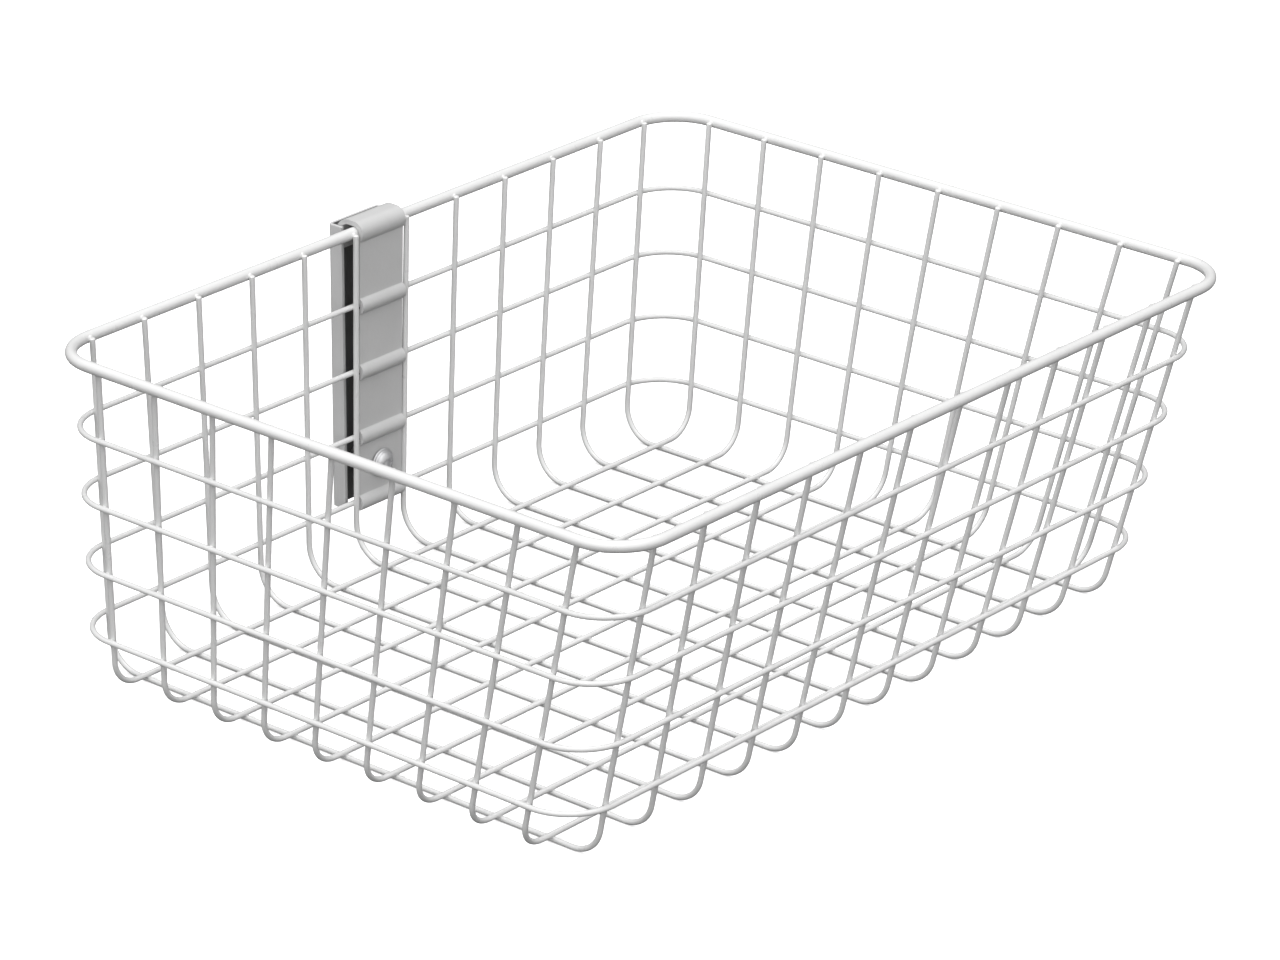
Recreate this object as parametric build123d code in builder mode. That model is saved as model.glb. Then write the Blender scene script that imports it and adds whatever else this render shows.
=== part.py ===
"""Welded wire basket with a hook plate and a mounting channel on its back wall.

Millimetres. +X runs along the long side, +Y points to the back wall that carries the
bracket, +Z is up. The underside of the lowest wires is z = 0.
"""
import os
from math import atan, cos, hypot, pi, sin, sqrt

from build123d import *

os.makedirs("parts", exist_ok=True)

# ---------------------------------------------------------------- wire sizes
wire_d = 2.25  # mesh and ring wire diameter
rim_d = 4.6  # rim wire diameter
weld_sink = 0.25  # how far two crossing wires press into each other at a weld
wire_r = wire_d / 2
rim_r = rim_d / 2
mesh_step = wire_d - weld_sink  # axis distance of two crossing mesh wires
rim_step = rim_r + wire_r - weld_sink  # axis distance of a leg and the rim

# ------------------------------------------------------------- basket envelope
y_shift = -5.03  # puts the middle of the whole part, bracket included, on y = 0
rim_z = 138.0  # height of the rim axis
side_x = 174.8  # leg axes of the two short walls, at rim height
front_y = 137.8  # leg axes of the front wall (at -Y), at rim height
back_y = 137.8  # leg axes of the back wall (at +Y), at rim height
side_slope = 0.0553  # outward run per unit of height
front_slope = 0.2441
back_slope = -0.0215
corner_r = 21.0  # corner radius of rim and rings, on the wire axis
ring_z = (107.7, 79.7, 51.6, 23.4)  # heights of the ring axes
leg_top_z = rim_z + 0.4  # the sheared leg ends stop just above the rim axis

# ---------------------------------------------------------------- mesh spacing
cross_count = 12  # wires that run along Y under the basket
cross_pitch_top = 29.0
cross_pitch_low = 27.1
cross_end_top = 157.8  # first and last wire
cross_end_low = 150.3
cross_bend_r = 14.0
cross_z = wire_r
long_count = 9  # wires that run along X, on top of the cross wires
long_pitch_top = 29.8
long_pitch_low = 25.6
long_mid_top = -0.9  # the middle wire
long_mid_low = 18.2
long_ends_top = (-117.6, 117.6)
long_ends_low = (-83.9, 121.1)
long_bend_r = 12.0
long_z = cross_z + mesh_step

# --------------------------------------------------------------------- bracket
plate_t = 2.0  # sheet thickness of the hook plate
plate_w = 24.7  # hook plate width, between two neighbouring legs
plate_front = -3.3  # front face of the flat, measured outward from the rim axis
rib_axis = -1.8  # centre of the half-round ribs, measured the same way
rib_r = 2.6  # rib radius on the middle of the sheet
rib_foot_r = 1.6
wrap_r = rim_r + 0.4 + plate_t / 2  # bend on top of the rim, on the middle of the sheet
wrap_flat = 2.8  # flat top behind the rim
lip_r = 5.6  # outer bend, on the middle of the sheet
lip_end = -9.0  # lower end of the lip, measured from the rim axis
sheet = 1.5  # sheet thickness of the channel
channel_w = 28.4
flange_edge = 145.9 + y_shift  # free edges of the two flanges, just behind the wires
channel_back = 153.4 + y_shift  # outer face of the web
web_inner = channel_back - sheet
channel_low = 19.8
channel_top = 139.4
channel_bend_r = 2.2  # outer radius of the two long bends
screw_z = 37.8
screw_d = 5.9  # M6 shank, drawn plain
nut_bore_d = 6.0
head_d = 11.5
head_flange = 0.9
head_h = 3.6
socket_af = 4.0  # hexagon socket, across flats
socket_depth = 2.2
screw_hole_d = 6.8
nut_af = 10.0
nut_h = 5.0
nut_collar_d = 8.0


def side_axis(z):
    """Distance of the short-wall leg axes from x = 0 at height z."""
    return side_x + side_slope * (z - rim_z)


def front_axis(z):
    """Y of the front-wall leg axes at height z."""
    return y_shift - front_y - front_slope * (z - rim_z)


def back_axis(z):
    """Y of the back-wall leg axes at height z."""
    return y_shift + back_y + back_slope * (z - rim_z)


def outset(step, slope):
    """Level distance that puts a hoop wire 'step' away from a leaning leg."""
    return step * hypot(1, slope)


def cross_x(i, top):
    """X of cross wire i, at the rim (top) or at the floor."""
    end = cross_end_top if top else cross_end_low
    pitch = cross_pitch_top if top else cross_pitch_low
    if i == 0:
        return -end
    if i == cross_count - 1:
        return end
    return (i - (cross_count - 1) / 2) * pitch


def long_y(j, top):
    """Y of long wire j, at the rim (top) or at the floor."""
    ends = long_ends_top if top else long_ends_low
    if j == 0:
        return y_shift + ends[0]
    if j == long_count - 1:
        return y_shift + ends[1]
    middle = long_mid_top if top else long_mid_low
    pitch = long_pitch_top if top else long_pitch_low
    return y_shift + middle + (j - (long_count - 1) / 2) * pitch


def hoop(z, step, radius):
    """Closed rounded-rectangle wire around the outside of the legs at height z."""
    half_x = side_axis(z) + outset(step, side_slope)
    y_back = back_axis(z) + outset(step, back_slope)
    y_front = front_axis(z) - outset(step, front_slope)
    with BuildPart() as wire:
        with BuildLine():
            FilletPolyline(
                (-half_x, y_front, z),
                (half_x, y_front, z),
                (half_x, y_back, z),
                (-half_x, y_back, z),
                radius=corner_r,
                close=True,
            )
        path = wire.pending_edges_as_wire
        with BuildSketch(Plane(path @ 0, z_dir=path % 0)):
            Circle(radius)
        sweep(path=path)
    length = 2 * (2 * half_x + y_back - y_front - 4 * corner_r) + 2 * pi * corner_r
    check_volume(wire.part, length * pi * radius**2)
    return wire.part


def bent_wire(points, bend_r):
    """Open wire through four points with two equal bends."""
    with BuildPart() as wire:
        with BuildLine() as path:
            FilletPolyline(*points, radius=bend_r)
        whole = path.wires()[0]
        with BuildSketch(Plane(whole @ 0, z_dir=whole % 0)):
            Circle(wire_r)
        sweep(path=whole)
    check_volume(wire.part, whole.length * pi * wire_r**2)
    return wire.part


def check_volume(solid, expected):
    """A swept wire must have the volume of its section times its length."""
    if abs(solid.volume / expected - 1) > 0.002:
        raise ValueError(f"sweep volume {solid.volume:.1f}, expected {expected:.1f}")


def save(solid, name):
    """Label one physical piece and write it to its own file."""
    solid.label = name
    export_step(solid, f"parts/{name}.step")


# ------------------------------------------------------------------ hoop wires
save(hoop(rim_z, rim_step, rim_r), "rim_wire")
for k, z in enumerate(ring_z, start=1):
    save(hoop(z, mesh_step, wire_r), f"ring_wire_{k}")

# ------------------------------------------------------- wires along Y (lowest)
for i in range(cross_count):
    low_x = cross_x(i, False)
    top_x = cross_x(i, True)
    corners = (
        (top_x, front_axis(leg_top_z), leg_top_z),
        (low_x, front_axis(cross_z), cross_z),
        (low_x, back_axis(cross_z), cross_z),
        (top_x, back_axis(leg_top_z), leg_top_z),
    )
    save(bent_wire(corners, cross_bend_r), f"cross_wire_{i + 1:02d}")

# ------------------------------------------------ wires along X (on top of them)
for j in range(long_count):
    low_y = long_y(j, False)
    top_y = long_y(j, True)
    corners = (
        (-side_axis(leg_top_z), top_y, leg_top_z),
        (-side_axis(long_z), low_y, long_z),
        (side_axis(long_z), low_y, long_z),
        (side_axis(leg_top_z), top_y, leg_top_z),
    )
    save(bent_wire(corners, long_bend_r), f"long_wire_{j + 1:02d}")

# ------------------------------------------------------------------ hook plate
# Profile plane: first axis outward (+Y), second axis up, origin on the rim axis.
# It leans with the back wall, so the flat stays parallel to the legs.
rim_back = back_axis(rim_z) + outset(rim_step, back_slope)
lean = atan(-back_slope)
profile_plane = Plane((0, rim_back, rim_z), x_dir=(0, cos(lean), sin(lean)), z_dir=(1, 0, 0))
mid = plate_front + plate_t / 2


def bump(centre, radius, side, foot_r):
    """Foot point, foot arc middle and joint of a round bump that rises from the flat.

    side is -1 for the lower foot and +1 for the upper one.
    """
    across = mid - foot_r - centre[0]
    rise = sqrt((radius + foot_r) ** 2 - across**2)
    scale = radius / (radius + foot_r)
    joint = (centre[0] + across * scale, centre[1] + side * rise * scale)
    foot = (mid, centre[1] + side * rise)
    hub = (mid - foot_r, centre[1] + side * rise)
    to_foot = (1.0, 0.0)
    to_joint = ((joint[0] - hub[0]) / foot_r, (joint[1] - hub[1]) / foot_r)
    half = (to_foot[0] + to_joint[0], to_foot[1] + to_joint[1])
    size = hypot(*half)
    middle = (hub[0] + half[0] / size * foot_r, hub[1] + half[1] / size * foot_r)
    return foot, middle, joint


with BuildPart() as hook_plate:
    with BuildSketch(profile_plane) as profile:
        with BuildLine() as sheet_line:
            rib_v = [(z - rim_z) / cos(lean) for z in reversed(ring_z)]
            last = None
            for v in rib_v:
                centre = (rib_axis, v)
                foot, foot_mid, joint = bump(centre, rib_r, -1, rib_foot_r)
                if last is not None:
                    Line(last, foot)
                    ThreePointArc(foot, foot_mid, joint)
                foot_2, foot_mid_2, joint_2 = bump(centre, rib_r, 1, rib_foot_r)
                ThreePointArc(joint, (rib_axis - rib_r, v), joint_2)
                ThreePointArc(joint_2, foot_mid_2, foot_2)
                last = foot_2
            foot, foot_mid, joint = bump((0, 0), wrap_r, -1, rib_foot_r)
            Line(last, foot)
            ThreePointArc(foot, foot_mid, joint)
            ThreePointArc(joint, (-wrap_r * cos(0.5), wrap_r * sin(0.5)), (0, wrap_r))
            Line((0, wrap_r), (wrap_flat, wrap_r))
            lip_hub = (wrap_flat, wrap_r - lip_r)
            lip_mid = (lip_hub[0] + lip_r * sin(pi / 4), lip_hub[1] + lip_r * cos(pi / 4))
            ThreePointArc((wrap_flat, wrap_r), lip_mid, (lip_hub[0] + lip_r, lip_hub[1]))
            Line((lip_hub[0] + lip_r, lip_hub[1]), (lip_hub[0] + lip_r, lip_end))
        trace(line_width=plate_t)
    extrude(amount=plate_w / 2, both=True)
    with BuildSketch(Plane((0, rim_back, screw_z), x_dir=(1, 0, 0), z_dir=(0, 1, 0))):
        Circle(screw_hole_d / 2)
    extrude(amount=12, both=True, mode=Mode.SUBTRACT)
save(hook_plate.part, "hook_plate")

# ------------------------------------------------------------- mounting channel
# The channel opens towards the basket: its web is on the outer side and lies on the wall.
with BuildPart() as mount_channel:
    with BuildSketch(Plane.XY.offset(channel_low)) as section:
        with BuildLine():
            half = channel_w / 2 - sheet / 2
            web = channel_back - sheet / 2
            FilletPolyline(
                (-half, flange_edge),
                (-half, web),
                (half, web),
                (half, flange_edge),
                radius=channel_bend_r - sheet / 2,
            )
        trace(line_width=sheet)
    extrude(amount=channel_top - channel_low)
    with BuildSketch(Plane((0, channel_back, 0), x_dir=(-1, 0, 0), z_dir=(0, 1, 0))):
        with Locations((0, screw_z)):
            Circle(nut_collar_d / 2)
    extrude(amount=3 * sheet, both=True, mode=Mode.SUBTRACT)
save(mount_channel.part, "mount_channel")

# ---------------------------------------------------------------------- the nut
nut_front = web_inner - nut_h
with BuildPart() as clamp_nut:
    with BuildSketch(Plane((0, nut_front, screw_z), x_dir=(1, 0, 0), z_dir=(0, 1, 0))):
        RegularPolygon(nut_af / 2, 6, major_radius=False)
    extrude(amount=nut_h)
    with BuildSketch(Plane((0, web_inner, screw_z), x_dir=(1, 0, 0), z_dir=(0, 1, 0))):
        Circle(nut_collar_d / 2)
    extrude(amount=sheet)
    with BuildSketch(Plane((0, nut_front, screw_z), x_dir=(1, 0, 0), z_dir=(0, 1, 0))):
        Circle(nut_bore_d / 2)
    extrude(amount=sheet + nut_h, mode=Mode.SUBTRACT)
save(clamp_nut.part, "clamp_nut")

# -------------------------------------------------------------------- the screw
plate_face = rim_back + plate_front + back_slope * (screw_z - rim_z)
seat_y = plate_face - 0.8  # gap under the head, seen in shadow
screw_tip_y = web_inner + 0.1
with BuildPart() as clamp_screw:
    with BuildSketch(Plane((0, 0, screw_z), x_dir=(1, 0, 0), z_dir=(0, 0, 1))):
        with BuildLine():
            rim_edge = (head_d / 2, seat_y - head_flange)
            crown = (0, seat_y - head_h)
            shoulder = (head_d * 0.27, seat_y - head_h * 0.86)
            Line((0, screw_tip_y), (screw_d / 2 - 0.6, screw_tip_y))
            Line((screw_d / 2 - 0.6, screw_tip_y), (screw_d / 2, screw_tip_y - 0.6))
            Line((screw_d / 2, screw_tip_y - 0.6), (screw_d / 2, seat_y))
            Line((screw_d / 2, seat_y), (head_d / 2, seat_y))
            Line((head_d / 2, seat_y), rim_edge)
            ThreePointArc(rim_edge, shoulder, crown)
            Line(crown, (0, screw_tip_y))
        make_face()
    revolve(axis=Axis((0, 0, screw_z), (0, 1, 0)))
    above_head = 1.0
    socket_y = seat_y - head_h - above_head
    with BuildSketch(Plane((0, socket_y, screw_z), x_dir=(1, 0, 0), z_dir=(0, 1, 0))):
        RegularPolygon(socket_af / 2, 6, major_radius=False)
    extrude(amount=socket_depth + above_head, mode=Mode.SUBTRACT)
save(clamp_screw.part, "clamp_screw")
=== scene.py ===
"""Looks for the welded wire basket with its clamp bracket.

The wires, the bracket and its fasteners are rebuilt here with rounded edges, weld beads,
wire tips and a screw thread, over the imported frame. Shapes are worked out in millimetres,
and make_piece scales them to metres. Textures, the floor and the camera are in metres.
"""
import math
import random

import bmesh
import bpy
from mathutils import Matrix, Vector


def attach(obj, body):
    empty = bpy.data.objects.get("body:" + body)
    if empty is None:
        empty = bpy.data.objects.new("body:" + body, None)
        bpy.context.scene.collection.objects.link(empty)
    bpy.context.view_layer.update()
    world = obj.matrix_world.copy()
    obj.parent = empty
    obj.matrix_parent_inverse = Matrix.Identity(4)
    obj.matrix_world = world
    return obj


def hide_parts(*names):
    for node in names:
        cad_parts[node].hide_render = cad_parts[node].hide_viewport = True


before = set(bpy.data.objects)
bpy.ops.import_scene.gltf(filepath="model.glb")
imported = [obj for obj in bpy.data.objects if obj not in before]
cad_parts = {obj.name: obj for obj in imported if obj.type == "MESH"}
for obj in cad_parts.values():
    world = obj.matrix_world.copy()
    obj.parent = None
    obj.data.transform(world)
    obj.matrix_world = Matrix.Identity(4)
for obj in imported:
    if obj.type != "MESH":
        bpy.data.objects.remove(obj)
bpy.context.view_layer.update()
mm = 0.001

# ------------------------------------------------------------------- dimensions (mm)
# The same driving sizes as the model that the frame was packed from.
wire_r, rim_r = 1.125, 2.3
weld_sink = 0.25  # how far two crossing wires press into each other
mesh_step = 2 * wire_r - weld_sink  # axis distance of two crossing mesh wires
rim_step = rim_r + wire_r - weld_sink  # axis distance of a leg and the rim
y_shift = -5.03  # puts the middle of the whole part, bracket included, on y = 0
rim_z = 138.0
side_x, front_y, back_y = 174.8, 137.8, 137.8  # leg axes, at rim height
side_slope, front_slope, back_slope = 0.0553, 0.2441, -0.0215  # outward run per height
corner_r = 21.0
ring_z = (107.7, 79.7, 51.6, 23.4)
leg_top_z = rim_z + 0.4
cross_count, long_count = 12, 9
cross_bend_r, long_bend_r = 14.0, 12.0
cross_z = wire_r
long_z = cross_z + mesh_step
cross_top, cross_low = (157.8, 29.0), (150.3, 27.1)  # X of the last wire, and the pitch
long_top = (-117.6, -0.9, 117.6, 29.8)  # Y of the first, middle and last wire, and the pitch
long_low = (-83.9, 18.2, 121.1, 25.6)

plate_t, plate_w = 2.0, 24.7
plate_front = -3.3  # front face of the flat, from the rim axis
rib_axis, rib_r, rib_foot_r = -1.8, 2.6, 1.6
wrap_r = rim_r + 0.4 + plate_t / 2
wrap_flat, lip_r, lip_end = 2.8, 5.6, -9.0
sheet, channel_w, channel_bend_r = 1.5, 28.4, 2.2
flange_edge, channel_back = 145.9 + y_shift, 153.4 + y_shift
web_inner = channel_back - sheet
channel_low, channel_top = 19.8, 139.4
screw_z, screw_d, screw_hole_d = 37.8, 5.9, 6.8
head_d, head_flange, head_h = 11.5, 0.9, 3.6
socket_af, socket_depth = 4.0, 2.2
nut_af, nut_h, nut_collar_d, nut_bore_d = 10.0, 5.0, 8.0, 6.0

# Only the looks have these.
mesh_bead = (1.12, 1.12, 0.55)  # half sizes of a weld bead: across, along, out
rim_bead = (1.35, 1.2, 0.75)
plate_edge, channel_edge, head_edge = 0.28, 0.4, 0.1  # rounding of sharp edges
past = 1.0  # how far a cutter runs past the faces that it opens


def side_axis(z):
    """Distance of the short-wall leg axes from x = 0 at height z."""
    return side_x + side_slope * (z - rim_z)


def front_axis(z):
    """Y of the front-wall leg axes at height z."""
    return y_shift - front_y - front_slope * (z - rim_z)


def back_axis(z):
    """Y of the back-wall leg axes at height z."""
    return y_shift + back_y + back_slope * (z - rim_z)


def cross_x(i, top):
    """X of cross wire i, at the rim (top) or at the floor."""
    end, pitch = cross_top if top else cross_low
    if i in (0, cross_count - 1):
        return -end if i == 0 else end
    return (i - (cross_count - 1) / 2) * pitch


def long_y(j, top):
    """Y of long wire j, at the rim (top) or at the floor."""
    first, middle, last, pitch = long_top if top else long_low
    if j == 0:
        return y_shift + first
    if j == long_count - 1:
        return y_shift + last
    return y_shift + middle + (j - (long_count - 1) / 2) * pitch


# ----------------------------------------------------------------------- materials
def new_material(name):
    """A node material with its tree, its Principled shader and a coordinate source."""
    made = bpy.data.materials.new(name)
    made.use_nodes = True
    tree = made.node_tree
    place = tree.nodes.new("ShaderNodeTexCoord")
    return made, tree, tree.nodes["Principled BSDF"], place.outputs["Object"]


def noise(tree, where, scale, detail=2.0, rough=0.5):
    """A noise texture; its scale is in features per metre."""
    made = tree.nodes.new("ShaderNodeTexNoise")
    made.inputs["Scale"].default_value = scale
    made.inputs["Detail"].default_value = detail
    made.inputs["Roughness"].default_value = rough
    tree.links.new(where, made.inputs["Vector"])
    return made.outputs["Fac"]


def ramp(tree, value, low, deep, high, pale):
    """Runs the colour from deep, where the value is low, to pale, where it is high."""
    made = tree.nodes.new("ShaderNodeValToRGB")
    for element, at, colour in zip(made.color_ramp.elements, (low, high), (deep, pale)):
        element.position = at
        element.color = (*colour, 1.0)
    tree.links.new(value, made.inputs["Fac"])
    return made.outputs["Color"]


def remap(tree, value, low, high, from_low=0.3, from_high=0.7):
    """Spreads a value, by default the usual range of a noise, over low to high."""
    made = tree.nodes.new("ShaderNodeMapRange")
    made.inputs["From Min"].default_value = from_low
    made.inputs["From Max"].default_value = from_high
    made.inputs["To Min"].default_value = low
    made.inputs["To Max"].default_value = high
    tree.links.new(value, made.inputs["Value"])
    return made.outputs["Result"]


def maths(tree, operation, first, second, third=0.0):
    """A maths node over links or plain numbers."""
    made = tree.nodes.new("ShaderNodeMath")
    made.operation = operation
    for k, value in enumerate((first, second, third)):
        if isinstance(value, float):
            made.inputs[k].default_value = value
        else:
            tree.links.new(value, made.inputs[k])
    return made.outputs[0]


def bump(tree, shader, layers):
    """Stacks (height, strength, distance) bump layers onto the shader's normal."""
    last = None
    for height, strength, distance in layers:
        made = tree.nodes.new("ShaderNodeBump")
        made.inputs["Strength"].default_value = strength
        made.inputs["Distance"].default_value = distance
        tree.links.new(height, made.inputs["Height"])
        if last is not None:
            tree.links.new(last, made.inputs["Normal"])
        last = made.outputs["Normal"]
    tree.links.new(last, shader.inputs["Normal"])


def powder_coat(name, pale, deep, roughness, peel, shine):
    """Baked powder coat: orange peel, slow colour drift and fine pits."""
    made, tree, shader, where = new_material(name)
    drift = noise(tree, where, scale=38, detail=3)
    colour = ramp(tree, drift, 0.32, deep, 0.68, pale)
    tree.links.new(colour, shader.inputs["Base Color"])
    gloss = remap(tree, noise(tree, where, scale=160, detail=3), *roughness)
    tree.links.new(gloss, shader.inputs["Roughness"])
    shader.inputs["Specular IOR Level"].default_value = shine
    pits = noise(tree, where, scale=1150, detail=2, rough=0.55)
    waves = noise(tree, where, scale=420, detail=1, rough=0.4)
    waves_deep, pits_deep = 0.12 * mm, 0.05 * mm
    bump(tree, shader, ((waves, peel, waves_deep), (pits, peel * 0.7, pits_deep)))
    return made


def plated_steel(name, pale, deep, roughness):
    """Zinc-plated steel with a slightly cloudy, drawn surface."""
    made, tree, shader, where = new_material(name)
    cloud = noise(tree, where, scale=220, detail=4, rough=0.6)
    colour = ramp(tree, cloud, 0.3, deep, 0.7, pale)
    tree.links.new(colour, shader.inputs["Base Color"])
    shader.inputs["Metallic"].default_value = 0.7
    gloss = remap(tree, noise(tree, where, scale=700, detail=3, rough=0.6), *roughness)
    tree.links.new(gloss, shader.inputs["Roughness"])
    grain = noise(tree, where, scale=2600, detail=2, rough=0.6)
    bump(tree, shader, ((grain, 0.25, 0.03 * mm),))
    return made


def paint_shade_inside(made, half_width, web_face, shade_grey=0.16, fade=0.35 * mm):
    """Paints shade inside the channel: the coat is darkened towards a flat dark grey between
    its inner faces.
    """
    tree = made.node_tree
    shader = tree.nodes["Principled BSDF"]
    coat = shader.inputs["Base Color"].links[0].from_socket
    place = next(n for n in tree.nodes if n.bl_idname == "ShaderNodeTexCoord")
    axes = tree.nodes.new("ShaderNodeSeparateXYZ")
    tree.links.new(place.outputs["Object"], axes.inputs[0])
    inside = 1.0
    for axis, sign, edge in (("X", 1, half_width), ("X", -1, half_width), ("Y", 1, web_face)):
        within = remap(tree, axes.outputs[axis], 0, 1, sign * edge, sign * (edge - fade))
        inside = maths(tree, "MULTIPLY", inside, within)
    # Painted shade: inside the channel the coat is mixed towards a flat dark grey.
    mix = tree.nodes.new("ShaderNodeMix")
    mix.data_type = "RGBA"
    tree.links.new(inside, mix.inputs["Factor"])
    tree.links.new(coat, mix.inputs["A"])
    mix.inputs["B"].default_value = (shade_grey, shade_grey, shade_grey, 1)
    tree.links.new(mix.outputs["Result"], shader.inputs["Base Color"])


wire_white = powder_coat("wire_white", (0.775, 0.775, 0.772), (0.74, 0.74, 0.737),
                         roughness=(0.26, 0.38), peel=0.3, shine=0.8)
bracket_grey = powder_coat("bracket_grey", (0.60, 0.60, 0.60), (0.555, 0.555, 0.555),
                           roughness=(0.42, 0.55), peel=0.4, shine=0.45)
# The channel's coat is bracket_grey painted a little lighter, a painted lift against the shade
# on its flanges; inside the channel it also gets painted shade.
channel_grey_painted_light_and_shade = powder_coat("channel_grey_painted_light_and_shade", (0.65, 0.65, 0.65), (0.605, 0.605, 0.605),
                          roughness=(0.42, 0.55), peel=0.4, shine=0.45)
zinc = plated_steel("zinc_steel", (0.70, 0.70, 0.71), (0.60, 0.60, 0.61),
                    roughness=(0.34, 0.52))
skin = 0.4  # the painted shade starts this far under the inner faces
paint_shade_inside(channel_grey_painted_light_and_shade, (channel_w / 2 - sheet + skin) * mm, (web_inner + skin) * mm)


# --------------------------------------------------------------------- mesh helpers
def make_piece(node, bm, material, body, smooth_deg=40):
    """Turns a bmesh in millimetres into the finished piece that stands for a CAD node."""
    bmesh.ops.scale(bm, vec=(mm, mm, mm), verts=bm.verts)
    bmesh.ops.recalc_face_normals(bm, faces=bm.faces)
    name = "look_" + node
    mesh = bpy.data.meshes.new(name)
    bm.to_mesh(mesh)
    bm.free()
    mesh.shade_smooth()
    mesh.set_sharp_from_angle(angle=math.radians(smooth_deg))
    piece = bpy.data.objects.new(name, mesh)
    bpy.context.scene.collection.objects.link(piece)
    mesh.materials.append(material)
    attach(piece, body)
    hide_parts(node)
    return piece


def flat_shading(piece):
    """Keeps broad sheet faces evenly lit next to their rounded edges."""
    even = piece.modifiers.new("even_faces", "WEIGHTED_NORMAL")
    even.keep_sharp = True


def rounded_path(corners, radius, closed=False, steps=14):
    """The corner points with a tangent arc in place of every turn."""
    points = [Vector(c) for c in corners]
    count = len(points)
    made = []
    for k, here in enumerate(points):
        if not closed and k in (0, count - 1):
            made.append(here)
            continue
        before = (points[k - 1] - here).normalized()
        after = (points[(k + 1) % count] - here).normalized()
        half = before.angle(after) / 2
        reach = radius / math.tan(half)
        hub = here + (before + after).normalized() * radius / math.sin(half)
        start, end = here + before * reach - hub, here + after * reach - hub
        turn = start.angle(end)
        for s in range(steps + 1):
            t = s / steps
            a, b = math.sin((1 - t) * turn), math.sin(t * turn)
            made.append(hub + (start * a + end * b) / math.sin(turn))
    return made


def add_tube(bm, path, radius, closed=False, sides=20, chamfer=0.3):
    """A round wire along the path, its open ends sheared flat with a small chamfer."""
    count = len(path)
    runs = []
    for k in range(count):
        if closed:
            runs.append((path[(k + 1) % count] - path[k - 1]).normalized())
        else:
            runs.append((path[min(k + 1, count - 1)] - path[max(k - 1, 0)]).normalized())
    spots = [(at, run, radius) for at, run in zip(path, runs)]
    if not closed:
        spots[0] = (path[0] + runs[0] * chamfer, runs[0], radius)
        spots[-1] = (path[-1] - runs[-1] * chamfer, runs[-1], radius)
        spots.insert(0, (path[0], runs[0], radius - chamfer))
        spots.append((path[-1], runs[-1], radius - chamfer))
    rings = []
    side = runs[0].orthogonal().normalized()
    for at, run, r in spots:
        side = (side - run * side.dot(run)).normalized()
        other = run.cross(side)
        ring = []
        for s in range(sides):
            a = 2 * math.pi * s / sides
            ring.append(bm.verts.new(at + (side * math.cos(a) + other * math.sin(a)) * r))
        rings.append(ring)
    pairs = list(zip(rings, rings[1:]))
    if closed:
        pairs.append((rings[-1], rings[0]))
    for k, (low, high) in enumerate(pairs):
        twist = 0
        if closed and k == len(pairs) - 1:
            gaps = [(low[0].co - v.co).length for v in high]
            twist = gaps.index(min(gaps))
        for s in range(sides):
            n = (s + 1) % sides
            top_a, top_b = high[(s + twist) % sides], high[(n + twist) % sides]
            bm.faces.new((low[s], low[n], top_b, top_a))
    if not closed:
        bm.faces.new(rings[0])
        bm.faces.new(rings[-1])


def add_weld(bm, at, normal, along, size, rng):
    """A small squeezed-out bead between two crossing wires."""
    normal = normal.normalized()
    along = (along - normal * along.dot(normal)).normalized()
    across = normal.cross(along)
    turn = Matrix((across, along, normal)).transposed().to_4x4()
    wobble = [size[k] * rng.uniform(0.9, 1.1) for k in range(3)]
    place = Matrix.Translation(at) @ turn @ Matrix.Diagonal((*wobble, 1.0))
    bmesh.ops.create_uvsphere(bm, u_segments=14, v_segments=8, radius=1.0, matrix=place)


def leg_points(corners, z):
    """Where the two legs of a U-shaped wire pass height z."""
    made = []
    for top, low in ((corners[0], corners[1]), (corners[3], corners[2])):
        t = (z - low[2]) / (top[2] - low[2])
        made.append(Vector(low).lerp(Vector(top), t))
    return made


# ---------------------------------------------------------------------- the wires
cross_corners = []
for i in range(cross_count):
    low_x, top_x = cross_x(i, False), cross_x(i, True)
    cross_corners.append((
        (top_x, front_axis(leg_top_z), leg_top_z),
        (low_x, front_axis(cross_z), cross_z),
        (low_x, back_axis(cross_z), cross_z),
        (top_x, back_axis(leg_top_z), leg_top_z),
    ))
long_corners = []
for j in range(long_count):
    low_y, top_y = long_y(j, False), long_y(j, True)
    long_corners.append((
        (-side_axis(leg_top_z), top_y, leg_top_z),
        (-side_axis(long_z), low_y, long_z),
        (side_axis(long_z), low_y, long_z),
        (side_axis(leg_top_z), top_y, leg_top_z),
    ))

rng = random.Random(7)
for i, corners in enumerate(cross_corners, start=1):
    bm = bmesh.new()
    add_tube(bm, rounded_path(corners, cross_bend_r), wire_r)
    make_piece(f"cross_wire_{i:02d}", bm, wire_white, "basket")
for j, corners in enumerate(long_corners):
    bm = bmesh.new()
    add_tube(bm, rounded_path(corners, long_bend_r), wire_r)
    for i in range(cross_count):
        at = Vector((cross_x(i, False), long_y(j, False), (cross_z + long_z) / 2))
        add_weld(bm, at, Vector((0, 0, 1)), Vector((1, 0, 0)), mesh_bead, rng)
    make_piece(f"long_wire_{j + 1:02d}", bm, wire_white, "basket")


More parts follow.
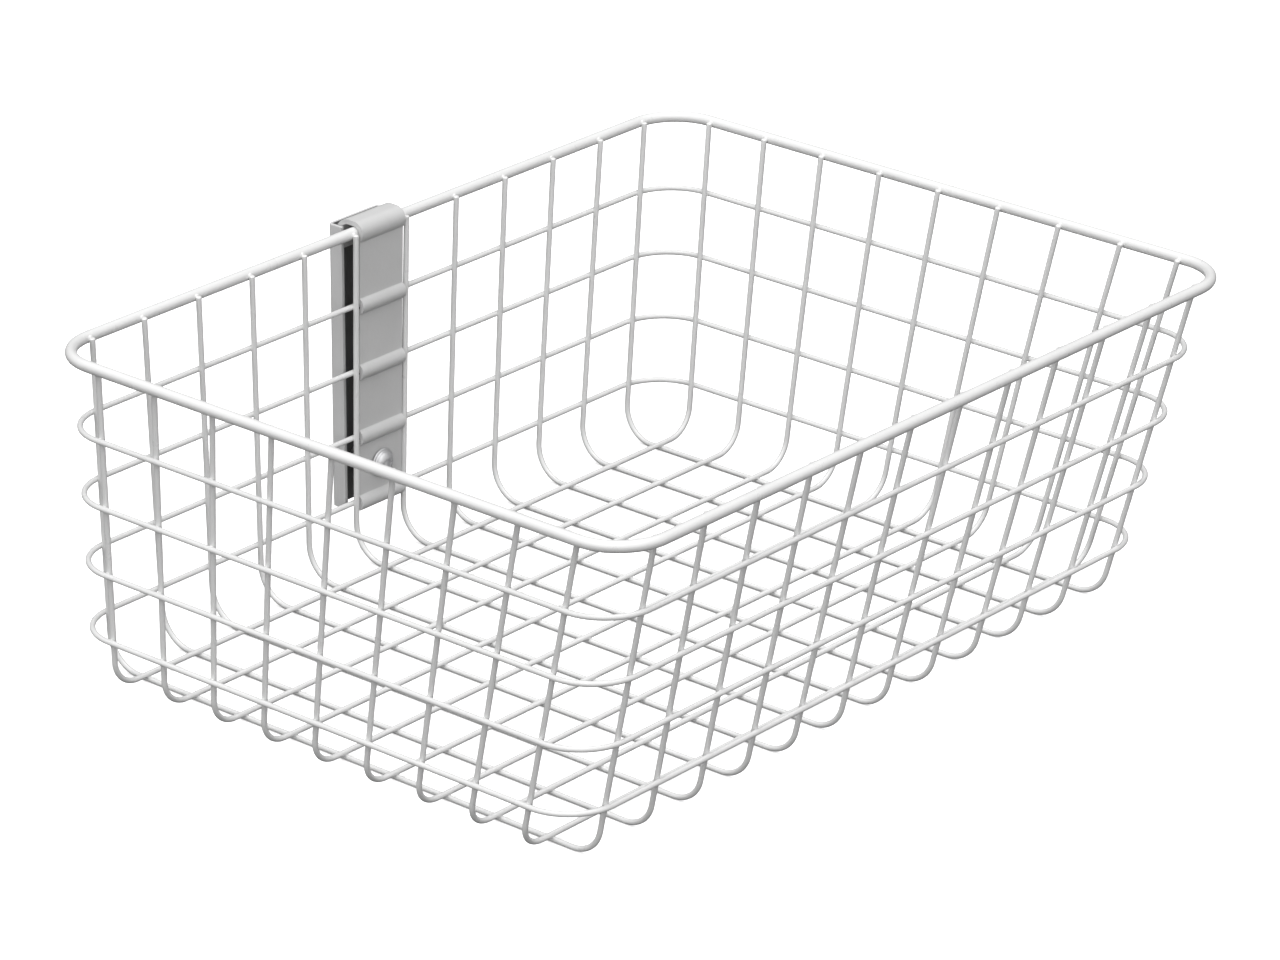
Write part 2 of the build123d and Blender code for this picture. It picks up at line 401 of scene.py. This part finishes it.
def hoop_piece(node, z, step, radius, sides, bead):
    """A closed wire round the legs, with a bead at every leg."""
    half_x = side_axis(z) + step * math.hypot(1, side_slope)
    y_back = back_axis(z) + step * math.hypot(1, back_slope)
    y_front = front_axis(z) - step * math.hypot(1, front_slope)
    outline = ((-half_x, y_front, z), (half_x, y_front, z),
               (half_x, y_back, z), (-half_x, y_back, z))
    bm = bmesh.new()
    path = rounded_path(outline, corner_r, closed=True, steps=24)
    add_tube(bm, path, radius, closed=True, sides=sides)
    reach = wire_r - weld_sink / 2
    for corners in cross_corners:
        for at in leg_points(corners, z):
            out = Vector((0, math.copysign(1, at.y - y_shift), 0))
            add_weld(bm, at + out * reach, out, Vector((1, 0, 0)), bead, rng)
    for corners in long_corners:
        for at in leg_points(corners, z):
            out = Vector((math.copysign(1, at.x), 0, 0))
            add_weld(bm, at + out * reach, out, Vector((0, 1, 0)), bead, rng)
    make_piece(node, bm, wire_white, "basket")


hoop_piece("rim_wire", rim_z, rim_step, rim_r, 32, rim_bead)
for k, z in enumerate(ring_z, start=1):
    hoop_piece(f"ring_wire_{k}", z, mesh_step, wire_r, 20, mesh_bead)


# --------------------------------------------------------------------- the bracket
def carved(bm, cutter, edge, segments=3, limit=35):
    """The bmesh with the cutter taken out and its sharp edges rounded, as a new bmesh."""
    made = []
    for source in (bm, cutter):
        bmesh.ops.recalc_face_normals(source, faces=source.faces)
        mesh = bpy.data.meshes.new("raw")
        source.to_mesh(mesh)
        source.free()
        thing = bpy.data.objects.new("raw", mesh)
        bpy.context.scene.collection.objects.link(thing)
        made.append(thing)
    stock, tool = made
    cut = stock.modifiers.new("cut", "BOOLEAN")
    cut.operation, cut.solver, cut.object = "DIFFERENCE", "EXACT", tool
    if edge:
        rounding = stock.modifiers.new("edge", "BEVEL")
        rounding.width, rounding.segments = edge, segments
        rounding.limit_method, rounding.angle_limit = "ANGLE", math.radians(limit)
    bpy.context.view_layer.update()
    shaped = bpy.data.meshes.new_from_object(
        stock.evaluated_get(bpy.context.evaluated_depsgraph_get()))
    result = bmesh.new()
    result.from_mesh(shaped)
    bpy.data.meshes.remove(shaped)
    for thing in made:
        mesh = thing.data
        bpy.data.objects.remove(thing)
        bpy.data.meshes.remove(mesh)
    return result


def lathe(profile, sides=64):
    """Closed solid round the screw axis from (radius, y) rows; the row ends are capped.

    A radius may also be a function of the angle.
    """
    bm = bmesh.new()
    rings = []
    for radius, y in profile:
        ring = []
        for s in range(sides):
            a = 2 * math.pi * s / sides
            r = radius(a) if callable(radius) else radius
            ring.append(bm.verts.new((r * math.cos(a), y, screw_z + r * math.sin(a))))
        rings.append(ring)
    for low, high in zip(rings, rings[1:]):
        for s in range(sides):
            n = (s + 1) % sides
            bm.faces.new((low[s], low[n], high[n], high[s]))
    bm.faces.new(rings[0])
    bm.faces.new(rings[-1])
    return bm


def rod(radius, y_from, y_to, sides):
    """A cylinder on the screw axis, or a prism where it has few sides."""
    return lathe([(radius, y_from), (radius, y_to)], sides)


def sheet_strip(line, thickness, place, half_width):
    """A bent sheet: the middle line offset to both sides and drawn out across its width."""
    bm = bmesh.new()
    count = len(line)
    rows = []
    for k, (u, v) in enumerate(line):
        before, after = line[max(k - 1, 0)], line[min(k + 1, count - 1)]
        if 0 < k < count - 1:
            first = Vector((u - before[0], v - before[1])).normalized()
            second = Vector((after[0] - u, after[1] - v)).normalized()
            run = (first + second).normalized()
            reach = thickness / 2 / max(run.dot(first), 0.5)
        else:
            run = Vector((after[0] - before[0], after[1] - before[1])).normalized()
            reach = thickness / 2
        row = []
        for side in (-1, 1):
            edge = (u - side * run.y * reach, v + side * run.x * reach)
            row += [bm.verts.new(place(*edge, x)) for x in (-half_width, half_width)]
        rows.append(row)
    for low, high in zip(rows, rows[1:]):
        for a, b in ((0, 1), (1, 3), (3, 2), (2, 0)):
            bm.faces.new((low[a], low[b], high[b], high[a]))
    for row in (rows[0], rows[-1]):
        bm.faces.new((row[0], row[1], row[3], row[2]))
    return bm


def arc(start, middle, end, steps):
    """Points on the circle through three points, the first one left out."""
    (ax, ay), (bx, by), (cx, cy) = start, middle, end
    d = 2 * (ax * (by - cy) + bx * (cy - ay) + cx * (ay - by))
    a2, b2, c2 = ax * ax + ay * ay, bx * bx + by * by, cx * cx + cy * cy
    hx = (a2 * (by - cy) + b2 * (cy - ay) + c2 * (ay - by)) / d
    hy = (a2 * (cx - bx) + b2 * (ax - cx) + c2 * (bx - ax)) / d
    radius = math.hypot(ax - hx, ay - hy)
    turns = [math.atan2(y - hy, x - hx) for x, y in (start, middle, end)]
    sweep = (turns[2] - turns[0]) % (2 * math.pi)
    if (turns[1] - turns[0]) % (2 * math.pi) > sweep:
        sweep -= 2 * math.pi
    made = []
    for k in range(1, steps + 1):
        t = turns[0] + sweep * k / steps
        made.append((hx + radius * math.cos(t), hy + radius * math.sin(t)))
    return made


def straight(line, to, step=4.0):
    """Runs the line on to a point in short pieces."""
    here = Vector(line[-1])
    there = Vector(to)
    count = max(1, int((there - here).length / step))
    for k in range(1, count + 1):
        line.append(tuple(here.lerp(there, k / count)))


rim_back = back_axis(rim_z) + rim_step * math.hypot(1, back_slope)
lean = math.atan(-back_slope)
flat_mid = plate_front + plate_t / 2


def rib_turn(centre, radius, side):
    """Foot, foot middle and joint where a round rib leaves the flat, below or above it."""
    across = flat_mid - rib_foot_r - centre[0]
    rise = math.sqrt((radius + rib_foot_r) ** 2 - across**2)
    part = radius / (radius + rib_foot_r)
    joint = (centre[0] + across * part, centre[1] + side * rise * part)
    hub = Vector((flat_mid - rib_foot_r, centre[1] + side * rise))
    half = Vector((1, 0)) + (Vector(joint) - hub) / rib_foot_r
    middle = hub + half.normalized() * rib_foot_r
    return (flat_mid, centre[1] + side * rise), tuple(middle), joint


def plate_place(u, v, x):
    """From the plate's own profile plane, which leans with the back wall."""
    return (x, rim_back + u * math.cos(lean) - v * math.sin(lean),
            rim_z + u * math.sin(lean) + v * math.cos(lean))


# The plate's middle line, from the lowest rib up over the rim and down to the lip's end.
foot_steps, rib_steps, wrap_steps, lip_steps = 8, 18, 24, 16
wrap_middle = 0.5  # an angle, in radians, between the two ends of the bend over the rim
line = []
for z in reversed(ring_z):
    centre = (rib_axis, (z - rim_z) / math.cos(lean))
    foot, middle, joint = rib_turn(centre, rib_r, -1)
    if line:
        straight(line, foot)
        line += arc(foot, middle, joint, foot_steps)
    else:
        line = [joint]
    foot_2, middle_2, joint_2 = rib_turn(centre, rib_r, 1)
    line += arc(joint, (rib_axis - rib_r, centre[1]), joint_2, rib_steps)
    line += arc(joint_2, middle_2, foot_2, foot_steps)
foot, middle, joint = rib_turn((0, 0), wrap_r, -1)
straight(line, foot)
line += arc(foot, middle, joint, foot_steps)
wrap_point = (-wrap_r * math.cos(wrap_middle), wrap_r * math.sin(wrap_middle))
line += arc(joint, wrap_point, (0, wrap_r), wrap_steps)
straight(line, (wrap_flat, wrap_r), step=1.5)
lip_hub = (wrap_flat, wrap_r - lip_r)
lip_middle = (lip_hub[0] + lip_r * math.sin(math.pi / 4),
              lip_hub[1] + lip_r * math.cos(math.pi / 4))
line += arc(line[-1], lip_middle, (lip_hub[0] + lip_r, lip_hub[1]), lip_steps)
straight(line, (lip_hub[0] + lip_r, lip_end))
plate = sheet_strip(line, plate_t, plate_place, plate_w / 2)
hole = rod(screw_hole_d / 2, rim_back - 12 * past, rim_back + 12 * past, 48)
plate = carved(plate, hole, plate_edge)
flat_shading(make_piece("hook_plate", plate, bracket_grey, "basket"))

# The channel's middle line, in plan, from one flange's edge round to the other's.
bend_steps = 10
half = channel_w / 2 - sheet / 2
turn_r = channel_bend_r - sheet / 2
web_mid = channel_back - sheet / 2
bend = math.sqrt(0.5) * turn_r
left_hub, right_hub = (turn_r - half, web_mid - turn_r), (half - turn_r, web_mid - turn_r)
left_middle = (left_hub[0] - bend, left_hub[1] + bend)
right_middle = (right_hub[0] + bend, right_hub[1] + bend)
line = [(-half, flange_edge)]
straight(line, (-half, left_hub[1]))
line += arc(line[-1], left_middle, (left_hub[0], web_mid), bend_steps)
straight(line, (right_hub[0], web_mid))
line += arc(line[-1], right_middle, (half, right_hub[1]), bend_steps)
straight(line, (half, flange_edge))
channel_mid = (channel_low + channel_top) / 2
channel = sheet_strip(line, sheet, lambda u, v, z: (u, v, channel_mid + z),
                      (channel_top - channel_low) / 2)
hole = rod(nut_collar_d / 2, web_inner - 3 * past, channel_back + 3 * past, 48)
channel = carved(channel, hole, channel_edge)
flat_shading(make_piece("mount_channel", channel, channel_grey_painted_light_and_shade, "channel"))

# -------------------------------------------------------------- the screw and its nut
plate_face = rim_back + plate_front + back_slope * (screw_z - rim_z)
seat_y = plate_face - 0.8
dome_y, head_top = seat_y - head_flange, seat_y - head_h
head_r, dome_r = head_d / 2, head_d * 0.40
dome_steps = 15
rows = [(screw_d / 2 - 0.4, seat_y), (head_r - 0.15, seat_y), (head_r, seat_y - 0.15),
        (head_r, seat_y - head_flange * 0.55), (head_r - 0.3, seat_y - head_flange * 0.85),
        (dome_r + 0.25, dome_y)]
for k in range(1, dome_steps):
    t = k / dome_steps * math.pi / 2
    rows.append((dome_r * math.cos(t) ** 0.9,
                 dome_y - (head_h - head_flange) * math.sin(t) ** 0.8))
rows.append((dome_r * 0.05, head_top))
socket = rod(socket_af / math.sqrt(3), head_top - past, head_top + socket_depth, 6)
screw = carved(lathe(rows), socket, head_edge, segments=2, limit=42)

pitch, crest, root = 1.0, screw_d / 2, screw_d / 2 - 0.55
thread_from, thread_to = seat_y + 1.2, web_inner + 0.1
run_in, run_out = 0.8, 0.9  # lengths over which the thread fades at its two ends


def thread_radius(y):
    """The thread's radius round the shank at one y, as a function of the angle."""
    fade = min(1.0, max(0.0, (y - thread_from) / run_in), max(0.0, (thread_to - y) / run_out))

    def at(angle):
        wave = abs(((y / pitch - angle / (2 * math.pi)) % 1.0) * 2 - 1)
        flank = min(1.0, max(0.0, wave * 1.3 - 0.12))
        return root + (crest - root) * flank * fade if y > thread_from else crest
    return at


row_gap, first_gap = 0.1, 0.01
rows = [(crest, seat_y - 0.2), (crest, thread_from)]
for k in range(int((thread_to - thread_from) / row_gap)):
    y = thread_from + k * row_gap + first_gap
    rows.append((thread_radius(y), y))
rows.append((root - 0.1, thread_to))
shank = lathe(rows, 40)
spare = bpy.data.meshes.new("spare")
shank.to_mesh(spare)
shank.free()
screw.from_mesh(spare)
bpy.data.meshes.remove(spare)
make_piece("clamp_screw", screw, zinc, "screw", 38)


def hexagon(cone):
    """The nut's outline, held inside the chamfer cone's radius."""
    def at(angle):
        flat = (angle - math.pi / 6) % (math.pi / 3) - math.pi / 6
        return min(nut_af / 2 / math.cos(flat), cone)
    return at


nut_front = web_inner - nut_h
corner = nut_af / 2 / math.cos(math.pi / 6)
collar_r, collar_edge = nut_collar_d / 2, 0.25
chamfer = ((0.95, 0.0), (0.45, 0.28), (0.0, 0.6))  # cut off the corners, depth in the face
rows = [(hexagon(corner - off), nut_front + depth) for off, depth in chamfer]
rows += [(hexagon(corner - off), web_inner - depth) for off, depth in reversed(chamfer)]
rows += [(collar_r, web_inner + 0.001), (collar_r, channel_back - collar_edge),
         (collar_r - collar_edge, channel_back)]
bore = rod(nut_bore_d / 2, nut_front - past, channel_back + past, 64)
nut = carved(lathe(rows, 96), bore, 0)
make_piece("clamp_nut", nut, zinc, "channel", 30)

# ------------------------------------------------------------- floor, light, camera
floor_mesh = bpy.data.meshes.new("floor")
floor_bm = bmesh.new()
bmesh.ops.create_grid(floor_bm, x_segments=1, y_segments=1, size=12)
floor_bm.to_mesh(floor_mesh)
floor_bm.free()
floor = bpy.data.objects.new("floor", floor_mesh)
bpy.context.scene.collection.objects.link(floor)
floor_paint, _, floor_shader, _ = new_material("floor_white")
for socket_name, value in (
    ("Base Color", (0.97, 0.97, 0.97, 1)),
    ("Roughness", 0.9),
    ("Specular IOR Level", 0.1),
    ("Emission Color", (1, 1, 1, 1)),
    ("Emission Strength", 0.5),
):
    floor_shader.inputs[socket_name].default_value = value
floor_mesh.materials.append(floor_paint)
floor.visible_diffuse = False
floor.visible_glossy = False

world = bpy.context.scene.world or bpy.data.worlds.new("studio")
bpy.context.scene.world = world
world.use_nodes = True
tree = world.node_tree
tree.nodes.clear()
out = tree.nodes.new("ShaderNodeOutputWorld")
back = tree.nodes.new("ShaderNodeBackground")
coords = tree.nodes.new("ShaderNodeTexCoord")
split = tree.nodes.new("ShaderNodeSeparateXYZ")
tree.links.new(coords.outputs["Generated"], split.inputs["Vector"])
back.inputs["Color"].default_value = (1, 1, 1, 1)

# A white tent: a soft box overhead, brighter towards -X and -Y, dim below the horizon.
below, horizon, zenith, sideways, facing = 0.05, 0.70, 2.9, -0.95, -0.60
dimmest = 0.05
box_edge = 8.0  # the higher, the smaller the soft box overhead
dusk = 12.0  # how steeply the light comes on above the horizon
rise = maths(tree, "MAXIMUM", split.outputs["Z"], 0.0)
sky = maths(tree, "MULTIPLY_ADD", maths(tree, "POWER", rise, box_edge), zenith, horizon)
sky = maths(tree, "MULTIPLY_ADD", split.outputs["X"], sideways, sky)
sky = maths(tree, "MULTIPLY_ADD", split.outputs["Y"], facing, sky)
sky = maths(tree, "MAXIMUM", sky, dimmest)
upper = maths(tree, "SMOOTH_MIN", maths(tree, "MULTIPLY", rise, dusk), 1.0, 0.1)
lit = maths(tree, "MULTIPLY_ADD", maths(tree, "SUBTRACT", sky, below), upper, below)
tree.links.new(lit, back.inputs["Strength"])
tree.links.new(back.outputs["Background"], out.inputs["Surface"])

bpy.context.scene.view_settings.view_transform = "Standard"

lens = bpy.data.cameras.new("camera")
camera = bpy.data.objects.new("camera", lens)
bpy.context.scene.collection.objects.link(camera)
bpy.context.scene.camera = camera
lens.sensor_width = 36
lens.lens = 167.1
lens.shift_x = 0.0661
lens.shift_y = -0.0009
lens.clip_start, lens.clip_end = 0.1, 50
azimuth, elevation = math.radians(-48.604), math.radians(23.199)
aim = Vector((-math.sin(azimuth) * math.cos(elevation), math.cos(azimuth) * math.cos(elevation),
              -math.sin(elevation)))
camera.location = (-1.58344, -1.35358, 0.96105)
camera.rotation_mode = "QUATERNION"
camera.rotation_quaternion = aim.to_track_quat("-Z", "Y")
